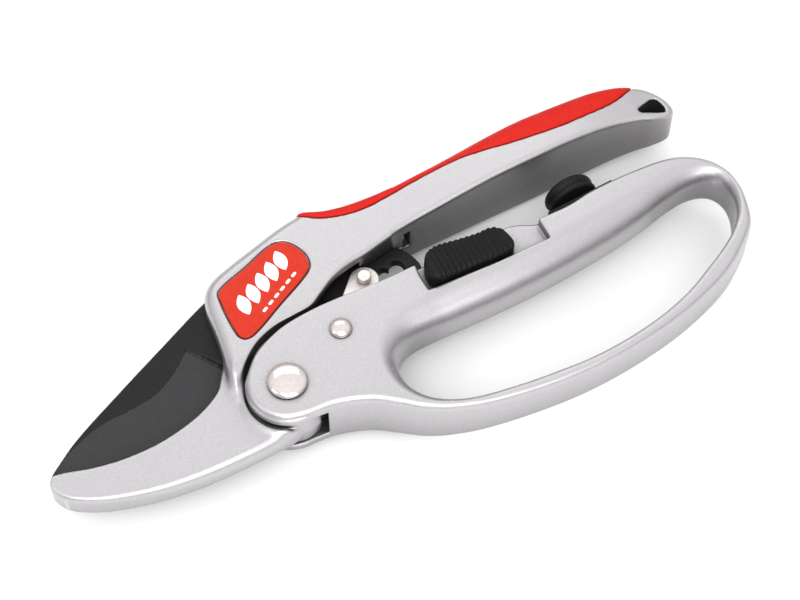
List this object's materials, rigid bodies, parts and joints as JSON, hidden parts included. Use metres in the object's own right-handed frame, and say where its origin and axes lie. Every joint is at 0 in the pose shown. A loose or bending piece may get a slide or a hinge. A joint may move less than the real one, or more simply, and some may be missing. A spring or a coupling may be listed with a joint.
{
  "type": "ratchet anvil pruner",
  "caption": "Closed ratchet anvil pruner: die-cast body with soft grip, coated blade on an anvil jaw, looped lower handle, toothed blade tail with pawl, slide lock and rubber bumper.",
  "frame": {"origin": "on the main pivot axis, on the flat end of the rear rivet head that the tool lies on", "axes": "+X along the tool from the anvil tip to the handle ends, +Y from the looped handle to the gripped handle, +Z out of the front face"},
  "size_m": [0.2098, 0.083, 0.024],
  "materials": {
    "silver_paint": "satin metallic silver paint over an aluminium die casting",
    "grip_rubber": "matte red soft grip",
    "badge_plastic": "smooth red label",
    "blade_coating": "satin black non-stick coating on steel",
    "nickel_rivet": "polished nickel plate",
    "bush_bronze": "sintered bronze",
    "zinc_plate": "zinc plated steel",
    "spring_steel": "plain spring steel",
    "black_plastic": "satin black moulding",
    "black_rubber": "matte black rubber"
  },
  "bodies": {
    "body": {"body_casting": "silver_paint", "grip_insert": "grip_rubber", "badge_front": "badge_plastic", "badge_back": "badge_plastic", "blade_pivot_pin": "nickel_rivet", "main_pivot_rivet": "nickel_rivet", "pivot_bush": "bush_bronze", "pivot_washer_front": "zinc_plate", "pivot_washer_back": "zinc_plate", "opening_spring": "spring_steel"},
    "handle": {"lower_handle": "silver_paint", "pawl_rivet": "nickel_rivet", "pawl_spring": "spring_steel", "bumper_foot": "black_rubber", "bumper_cap": "black_rubber", "detent_spring": "spring_steel"},
    "blade": {"blade": "blade_coating"},
    "pawl": {"pawl_plate_front": "zinc_plate", "pawl_plate_back": "zinc_plate", "pawl_pin": "zinc_plate"},
    "lock": {"lock_slider": "black_plastic", "latch_plate": "zinc_plate", "latch_rivet": "zinc_plate"}
  },
  "joints": [
    {"name": "handle_pivot", "type": "hinge", "parent": "body", "child": "handle", "pos_m": [0, 0, 0.0115], "axis": [0, 0, 1], "range_deg": [-27, 0]},
    {"name": "blade_pivot", "type": "hinge", "parent": "body", "child": "blade", "pos_m": [0.0083, 0.0237, 0.0115], "axis": [0, 0, 1], "range_deg": [-27, 0]},
    {"name": "pawl_pivot", "type": "hinge", "parent": "handle", "child": "pawl", "pos_m": [0.0196, 0.0088, 0.0115], "axis": [0, 0, 1], "range_deg": [0, 4.05]},
    {"name": "lock_slide", "type": "slide", "parent": "handle", "child": "lock", "axis": [1, 0, 0], "range_m": [0, 0.008]}
  ],
  "couplings": [
    {"joint": "blade_pivot", "follows": "handle_pivot", "ratio": 1},
    {"joint": "pawl_pivot", "follows": "handle_pivot", "ratio": -0.15}
  ]
}
